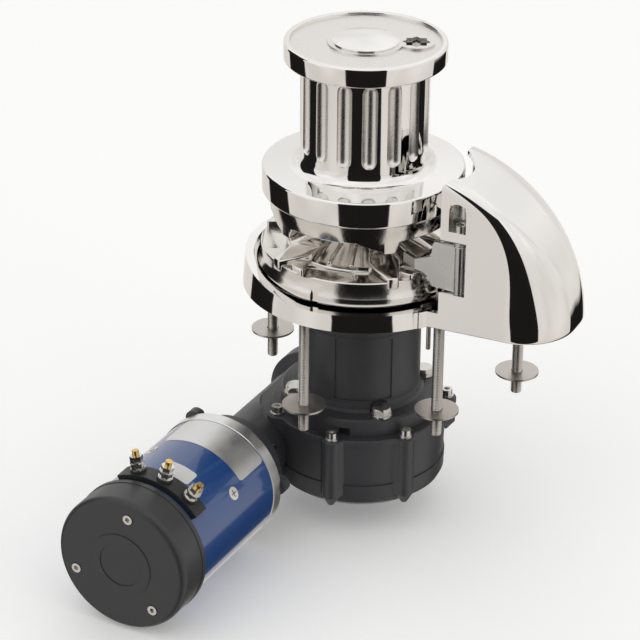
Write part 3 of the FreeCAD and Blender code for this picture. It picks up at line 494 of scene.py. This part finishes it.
def shaped(thing, operation, *tools):
    """Join, cut or limit the object with each tool in turn."""
    for tool in tools:
        step = thing.modifiers.new("shape", "BOOLEAN")
        step.operation = operation
        step.solver = "EXACT"
        step.object = tool
        settled(thing)
        drop(tool)
    return thing


def softened(thing, width, pieces=2):
    """Round the sharp edges a little, as a casting has them."""
    step = thing.modifiers.new("edges", "BEVEL")
    step.width = width * 0.001
    step.segments = pieces
    step.limit_method = "ANGLE"
    step.angle_limit = math.radians(30)
    return settled(thing)


def copies(thing, count, first):
    """One object that holds copies of this one, evenly spaced about Z."""
    work = bmesh.new()
    for i in range(count):
        copy = thing.data.copy()
        copy.transform(Matrix.Rotation(math.radians(first + 360.0 * i / count), 4, "Z"))
        work.from_mesh(copy)
        bpy.data.meshes.remove(copy)
    work.to_mesh(thing.data)
    work.free()
    return thing


def bead(name, start_at, end_at, start_r, end_r, sides=14):
    """A round rib between two points, (radius, height), with round ends."""
    ax, az = start_at
    bx, bz = end_at
    length = math.hypot(bx - ax, bz - az)
    along = ((bx - ax) / length, (bz - az) / length)
    turns = [math.radians(d) for d in (12, 38, 64, 90)]
    stations = [(-start_r * math.cos(a), start_r * math.sin(a)) for a in turns]
    stations += [(length + end_r * math.cos(a), end_r * math.sin(a)) for a in reversed(turns)]
    points = []
    for s, r in stations:
        for k in range(sides):
            a = 2 * math.pi * k / sides
            off = r * math.cos(a)
            across = ax + along[0] * s - along[1] * off
            points.append((across, r * math.sin(a), az + along[1] * s + along[0] * off))
    return lofted(name, points, sides)


def dressed(thing, name, finish, body, node=None, angle=32.0):
    """Name, shade, paint and hang the piece; it stands for the node if one is given."""
    thing.name = name
    thing.data.shade_smooth()
    thing.data.set_sharp_from_angle(angle=math.radians(angle))
    thing.data.materials.clear()
    thing.data.materials.append(materials[finish])
    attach(thing, body)
    if node is not None:
        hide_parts(node)
    return thing


def rounded_profile(corners, pieces=8):
    """Profile points from (radius, height, rounding) corners."""
    out = []
    for i, (r, z, size) in enumerate(corners):
        here = Vector((r, z))
        if size == 0:
            out.append((r, z))
            continue
        back = (Vector(corners[i - 1][:2]) - here).normalized()
        on = (Vector(corners[(i + 1) % len(corners)][:2]) - here).normalized()
        half = back.angle(on) / 2
        centre = here + (back + on).normalized() * (size / math.sin(half))
        arm = here + back * (size / math.tan(half)) - centre
        last = here + on * (size / math.tan(half)) - centre
        sweep = math.pi - 2 * half
        if arm.x * last.y - arm.y * last.x < 0:
            sweep = -sweep
        for k in range(pieces + 1):
            a = sweep * k / pieces
            out.append((centre.x + arm.x * math.cos(a) - arm.y * math.sin(a),
                        centre.y + arm.x * math.sin(a) + arm.y * math.cos(a)))
    return out


def drum():
    """The fluted drum with its wide round root over the skirt."""
    body = turned("drum", rounded_profile([
        (drum_bore_r, drum_low, 0), (drum_hub_r, drum_low, 0), (drum_hub_r, barrel_roof, 0),
        (barrel_inner_r, barrel_roof, 0), (barrel_inner_r, 109.87, 0), (52.05, 105.87, 0),
        (skirt_inner_r, 103.87, 0), (skirt_inner_r, drum_low, 0), (skirt_r, drum_low, 2.6),
        (skirt_r, skirt_top, 2.6), (barrel_r, root_top, root_r), (barrel_r, crown_low, 1.5),
        (crown_r, crown_low, 1.6), (crown_r, crown_top, 2.6), (65.6, crown_top, 1.0),
        (64.4, crown_floor, 0), (disc_r, crown_floor, 0), (32.9, disc_top, 0),
        (drum_hub_r, disc_top, 0), (drum_hub_r, nut_seat, 0), (drum_bore_r, nut_seat, 0)]), drum_steps)
    a = math.radians(socket_turn)
    x = socket_place_r * math.cos(a)
    y = socket_place_r * math.sin(a)
    pad = rod("pad", socket_pad_r, crown_floor - 3.0, disc_top, x, y, 64)
    shaped(pad, "DIFFERENCE", rod("hub", drum_hub_r + 1.0, crown_floor - 5.0, crown_top + 1.9))
    shaped(body, "UNION", pad)
    star = []
    for i in range(star_corners):
        radius = star_point_r if i % 2 == 0 else star_notch_r
        at = math.radians(socket_turn + 360.0 * i / star_corners)
        star.append((x + radius * math.cos(at), y + radius * math.sin(at)))
    socket = prism("star", star, socket_floor, crown_top + 3.9)
    flute_foot = (flute_axis_r, flute_low)
    flute_head = (flute_axis_r, flute_high)
    flute = bead("flute", flute_foot, flute_head, flute_r, flute_r, flute_sides)
    shaped(body, "DIFFERENCE", socket, copies(flute, flutes, flute_first))
    dressed(body, "capstan_drum_form", "polished_steel", "drum", "capstan_drum", 30.0)


def wheel_lower():
    """Lower half of the chainwheel: five link seats with wedge teeth between them, and the rope ribs."""
    wheel = turned("wheel", [
        (wheel_bore_r, wheel_seat_z), (40.0, wheel_seat_z), (44.0, wheel_low), (91.5, wheel_low),
        (92.9, 18.1), (wheel_rim_r, 19.5), (wheel_rim_r, 24.0), (92.9, 25.6), (91.2, 27.6),
        (90.3, 31.5), (89.8, 36.0), (89.8, 38.7), (89.0, 39.5), (66.2, 39.5), (65.4, 40.3),
        (65.0, 43.0), (38.5, 52.6), (36.5, 54.5), (36.0, wheel_split), (wheel_bore_r, wheel_split)])
    seat = [(67.0, -30.0), (88.0, -30.0)]
    seat += disc_outline(link_end_r, link_end_x, link_end_y, 20, 0.0, 180.0)
    cutter = softened(prism("seat", seat, seat_floor, 46.0), 0.9)
    shaped(wheel, "DIFFERENCE", copies(cutter, pockets, pocket_first))
    wedge = [(46.0, -9.0), (64.0, -14.5), (91.6, -4.5), (91.6, 4.5), (64.0, 14.5), (46.0, 9.0)]
    tooth = prism("tooth", wedge, tooth_foot, tooth_tops)
    tooth.data.transform(Matrix.Rotation(math.radians(half_pocket), 4, "Z"))
    shaped(wheel, "UNION", copies(softened(tooth, 1.8, 3), pockets, pocket_first))
    corner = [(63.0, -38.5), (80.0, -38.5), (85.3, -27.0), (85.3, -25.0), (63.0, -25.0)]
    stop = prism("stop", corner, stop_foot, stop_top)
    shaped(wheel, "UNION", copies(softened(stop, 1.6, 3), pockets, pocket_first))
    rib = bead("rib", (38.5, 52.4), (63.5, 43.5), rib_r, rib_outer_r)
    shaped(wheel, "UNION", copies(rib, ribs, pocket_first - 8.0))
    nick = block("nick", 90.7, 98.0, -3.5, 3.5, 16.0, 30.0)
    shaped(wheel, "DIFFERENCE", copies(nick, pockets, pocket_first - 7.5))
    dressed(wheel, "chainwheel_lower_form", "wheel_steel", "chainwheel", "chainwheel_lower")


def wheel_upper():
    """Upper half of the chainwheel: an angular lobe hangs down between two pockets."""
    wheel = turned("wheel", [
        (wheel_bore_r, wheel_split), (36.0, wheel_split), (36.5, 59.0), (38.5, 61.0), (61.0, 71.0),
        (63.5, 72.5), (79.8, 72.5), (81.0, 73.0), (wheel_top_r, 74.2), (wheel_top_r, wheel_top),
        (44.0, wheel_top), (40.0, wheel_top_seat_z), (wheel_bore_r, wheel_top_seat_z)])
    side = [(-33.0, 75.5), (-33.0, 74.0), (-7.0, 64.5), (-6.0, 62.5)]
    side += [(4.5, 62.5), (8.0, 72.0), (20.0, 75.5)]
    points = [(x, y, z) for x in (56.5, 90.0) for y, z in side]
    lobe = shaped(between("lobe", points), "INTERSECT", rod("limit", lobe_rim_r, 50.0, 90.0))
    lobe.data.transform(Matrix.Rotation(math.radians(half_pocket), 4, "Z"))
    shaped(wheel, "UNION", copies(softened(lobe, 1.0, 2), pockets, pocket_first))
    rib = bead("rib", (39.5, 61.3), (59.5, 70.2), rib_r, rib_r)
    shaped(wheel, "UNION", copies(rib, ribs, pocket_first + 1.0))
    dressed(wheel, "chainwheel_upper_form", "wheel_steel", "chainwheel", "chainwheel_upper")


def cover_section(degrees, shrink):
    """The cover's outline in a plane through its swing line; its near corner is rounder at the deck."""
    steps = cover_arc_steps
    t = min(1.0, max(0.0, (cover_blend_starts - degrees) / cover_blend_span))
    t = t * t * (3 - 2 * t)
    near_r = cover_edge_r + (cover_foot_corner_r - cover_edge_r) * t - shrink
    near = shrink - cover_near
    far = cover_far - shrink
    reach = cover_reach - cover_axis_x - shrink
    flat = [(1.0 + (reach - near_r - 1.0) * i / 10, near) for i in range(10)]
    for i in range(steps + 1):
        a = math.radians(-90 + 90 * i / steps)
        flat.append((reach - near_r + near_r * math.cos(a), near + near_r + near_r * math.sin(a)))
    nose_start = near + near_r
    flat.extend((reach, nose_start * (1 - i / 8)) for i in range(1, 8))
    for i in range(steps + 1):
        a = math.radians(90 * i / steps)
        flat.append((reach - far + far * math.cos(a), far * math.sin(a)))
    flat.extend((reach - far - (reach - far - 1.0) * i / 6, far) for i in range(1, 7))
    rise = math.radians(degrees)
    return [(cover_axis_x + u * math.cos(rise), y, u * math.sin(rise)) for u, y in flat]


def cover_solid(name, shrink):
    """The cover swung up from the deck to its mouth; its foot is rounded a little."""
    foot = cover_foot_swing
    count = cover_swings
    swings = [foot * i / 6 for i in range(6)]
    swings += [foot + (90.0 - foot) * i / count for i in range(count + 1)]
    points = []
    for swing in swings:
        under = max(0.0, 1.0 - swing / foot)
        drawn_in = cover_foot_round * (1.0 - math.sqrt(1.0 - under ** 2))
        points.extend(cover_section(swing, shrink + drawn_in))
    made = lofted(name, points, len(points) // len(swings))
    made.data.transform(Matrix.Rotation(math.radians(cover_turn), 4, "Z"))
    return made


def base_form():
    """The base casting with the cover's own shape: one long edge, tight above and round at the foot."""
    kept = cover_solid("kept", trim_gap)
    kept.data.transform(Matrix.Translation((0.0, 0.0, -0.0003)))
    trim = block("trim", *trim_limits)
    shaped(trim, "DIFFERENCE", rod("foot", deck_edge_r, -3.0, deck_edge_top, 0.0, 0.0, 144), kept)
    mesh = nodes["base_plate"].data.copy()
    for extra in ("custom_normal", "sharp_edge", "sharp_face"):
        if extra in mesh.attributes:
            mesh.attributes.remove(mesh.attributes[extra])
    work = bmesh.new()
    work.from_mesh(mesh)
    bmesh.ops.remove_doubles(work, verts=work.verts, dist=weld_distance)
    work.to_mesh(mesh)
    work.free()
    base = placed("base", mesh)
    shaped(base, "DIFFERENCE", trim)
    above = block("above", 0.0, 260.0, -90.0, 90.0, floor_top, 260.0)
    inner = shaped(cover_solid("inner", cover_wall), "INTERSECT", above)
    shell = shaped(cover_solid("shell", 0.0), "DIFFERENCE", inner)
    shaped(
        shell, "DIFFERENCE",
        rod("recess", recess_r, floor_top, 210.0),
        rod("mouth", mouth_r, mouth_low, 210.0, mouth_x, mouth_y),
        block("window", *window_limits),
        rod("pivot", pivot_hole_r, 14.0, 130.0, pivot_x, pivot_y, 32),
        rod("chain_pipe", pipe_r, -1.0, floor_top + 1.0, pipe_x, 0.0),
        rod("stud_hole_side", stud_hole_r, -1.0, stud_hole_top, studs[2][0], studs[2][1], 32),
        rod("stud_hole_end", stud_hole_r, -1.0, stud_hole_top, studs[3][0], studs[3][1], 32),
        head_hollow())
    shaped(base, "UNION", shell)
    step = base.modifiers.new("shading", "WEIGHTED_NORMAL")
    step.keep_sharp = True
    dressed(base, "base_form", "polished_steel", "base", "base_plate", 30.0)


def head_hollow():
    """The hollow over the pivot screw: upright sides and a round top, open to the outside."""
    profile = [(-hollow_r, hollow_low)]
    for i in range(21):
        a = math.radians(180 - 180 * i / 20)
        profile.append((hollow_r * math.cos(a), hollow_arch + hollow_r * math.sin(a)))
    profile.append((hollow_r, hollow_low))
    points = [(hollow_x + x, y, z) for y in (-80.0, hollow_y) for x, z in profile]
    back = rod("hollow_back", hollow_r + 0.5, hollow_low, 119.0, hollow_x, hollow_y, 48)
    return shaped(between("hollow", points), "UNION", back)


def threaded(name, x, y, low, sides=28):
    """A threaded stud: the flanks are real, and the free end is tapered."""
    rows = int((stud_top - low) / thread_pitch * rows_per_turn)
    points = []
    for i in range(rows + 1):
        z = low + (stud_top - low) * i / rows
        limit = stud_r - stud_tip + (z - low)
        for k in range(sides):
            phase = (z / thread_pitch - k / sides) % 1.0
            r = stud_r - thread_depth * (1.0 - abs(2.0 * phase - 1.0))
            r = max(thinnest_r, min(r, limit))
            a = 2 * math.pi * k / sides
            points.append((x + r * math.cos(a), y + r * math.sin(a), z))
    return lofted(name, points, sides)


def stud_forms():
    """The four deck studs with their thread."""
    work = bmesh.new()
    for x, y, low in studs:
        one = threaded("stud", x, y, low)
        work.from_mesh(one.data)
        drop(one)
    mesh = bpy.data.meshes.new("studs")
    work.to_mesh(mesh)
    work.free()
    made = placed("studs", mesh)
    dressed(made, "deck_stud_threads", "stud_steel", "base", "deck_studs", 60.0)


def shell_plate(name, front, back, first, last, outer, finish):
    """A thin bare plate bent round the motor's shell from first to last degrees, with round corners."""
    corner = plate_corner_r
    half_y = (back - front) / 2
    middle_y = (back + front) / 2
    half_arc = math.radians(last - first) / 2 * outer
    middle = math.radians(first + last) / 2
    columns = plate_columns
    points = []
    faces = []
    for i in range(columns + 1):
        s = -half_arc + 2 * half_arc * i / columns
        over = max(0.0, abs(s) - (half_arc - corner))
        half = half_y - corner + math.sqrt(max(0.0, corner ** 2 - over ** 2))
        a = middle + s / outer
        for r in (plate_under, outer):
            for y in (middle_y - half, middle_y + half):
                points.append((motor_x + r * math.cos(a), y, motor_z + r * math.sin(a)))
    for i in range(columns):
        b = i * 4
        c = b + 4
        faces += [(b, b + 1, c + 1, c), (b + 2, c + 2, c + 3, b + 3)]
        faces += [(b, c, c + 2, b + 2), (b + 1, b + 3, c + 3, c + 1)]
    last_row = columns * 4
    faces += [(0, 2, 3, 1), (last_row, last_row + 1, last_row + 3, last_row + 2)]
    dressed(made_of(name, points, faces), name, finish, "base")


# nodes whose finish is another than their slot's
finish_of = {"terminal_nuts": "nickel", "terminal_washers": "nickel", "shell_screws": "nickel"}


def finish_nodes():
    """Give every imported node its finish."""
    for name, o in nodes.items():
        o.data.materials.clear()
        o.data.materials.append(materials[finish_of.get(name, slot_of[name])])


def make_floor():
    """A wide pale floor just under the lowest piece. It looks white to the camera and keeps the shadow."""
    z = cad_low.z - floor_drop
    half = floor_half
    mesh = bpy.data.meshes.new("floor")
    corners = [(-half, -half, z), (half, -half, z), (half, half, z), (-half, half, z)]
    mesh.from_pydata(corners, [], [(0, 1, 2, 3)])
    floor = placed("floor", mesh)
    made, n, shader, place = start("floor_paint")
    shader.inputs["Base Color"].default_value = rgba((0.86, 0.86, 0.855))
    shader.inputs["Roughness"].default_value = 0.9
    shader.inputs["Emission Color"].default_value = rgba((1.0, 1.0, 1.0))
    shader.inputs["Emission Strength"].default_value = floor_glow
    mesh.materials.append(made)
    floor.visible_glossy = False


def make_world():
    """An even white studio with dark gaps between the white walls, as the polished metal shows."""
    world = bpy.data.worlds.new("studio")
    bpy.context.scene.world = world
    world.use_nodes = True
    n = Nodes(world.node_tree)
    out = n.add("ShaderNodeOutputWorld")
    way = n.add("ShaderNodeTexCoord").outputs["Generated"]
    parts = n.add("ShaderNodeSeparateXYZ", {"Vector": way})
    turn = n.math("ARCTAN2", parts.outputs["Y"], parts.outputs["X"])
    up = parts.outputs["Z"]
    gaps = []
    for centre_deg, half_deg, ends_at in dark_gaps:
        centre = heading + math.radians(centre_deg)
        away = n.math("SUBTRACT", turn, centre)
        wrapped = n.add("ShaderNodeMath", operation="WRAP")
        n.put(wrapped.inputs[0], away)
        wrapped.inputs[1].default_value = math.pi
        wrapped.inputs[2].default_value = -math.pi
        size = n.math("ABSOLUTE", wrapped.outputs[0])
        edge = math.radians(half_deg)
        gap = n.spread(size, edge - gap_edge, edge + gap_edge, 1.0, 0.0)
        gaps.append(n.math("MULTIPLY", gap, n.spread(up, ends_at, ends_at + gap_fade, 1.0, 0.0)))
    dark = n.math("MAXIMUM", n.math("MAXIMUM", gaps[0], gaps[1]), gaps[2])
    tone = n.spread(up, -0.5, 0.8, *wall_levels)
    cloud = n.noise(way, 2.2, 1.0)
    tone = n.math("MULTIPLY", tone, n.spread(cloud, 0.3, 0.7, *cloud_levels))
    below = rgba((1.0, 0.955, 0.905))
    above = rgba((1.0, 0.998, 0.992))
    warm = n.mix(n.spread(up, -0.4, 0.5, 0.0, 1.0), below, above)
    level = n.math("MULTIPLY", tone, n.spread(dark, 0.0, 1.0, 1.0, gap_level))
    seen = n.add("ShaderNodeLightPath").outputs["Is Camera Ray"]
    back = n.add("ShaderNodeBackground", {"Strength": level, "Color": warm})
    white = n.add("ShaderNodeBackground", {"Strength": 1.0, "Color": rgba((1.0, 1.0, 1.0))})
    both = n.add("ShaderNodeMixShader", {0: seen, 1: back.outputs[0], 2: white.outputs[0]})
    n.tree.links.new(both.outputs[0], out.inputs["Surface"])


def make_camera():
    """The camera at the photograph's place, with its lens and roll."""
    data = bpy.data.cameras.new("camera")
    data.sensor_width = sensor_width
    data.lens = camera_lens
    data.clip_start = 0.05
    data.clip_end = 30.0
    camera = placed("camera", data)
    level_right = Vector((camera_looks.y, -camera_looks.x, 0.0)).normalized()
    level_up = level_right.cross(camera_looks)
    right = level_right * math.cos(camera_roll) + level_up * math.sin(camera_roll)
    up = level_up * math.cos(camera_roll) - level_right * math.sin(camera_roll)
    turn = Matrix((right, up, -camera_looks)).transposed()
    camera.matrix_world = Matrix.Translation(camera_place) @ turn.to_4x4()
    bpy.context.scene.camera = camera


finish_nodes()
drum()
wheel_lower()
wheel_upper()
base_form()
stud_forms()
shell_plate("rating_plate_bare", front=-181.0, back=-141.0,
            first=34.0, last=118.0, outer=59.1, finish="label_silver")
shell_plate("strip_label_bare", front=-236.0, back=-217.0,
            first=62.0, last=90.0, outer=59.0, finish="label_white")
make_floor()
make_world()
make_camera()
bpy.context.scene.view_settings.view_transform = "Standard"
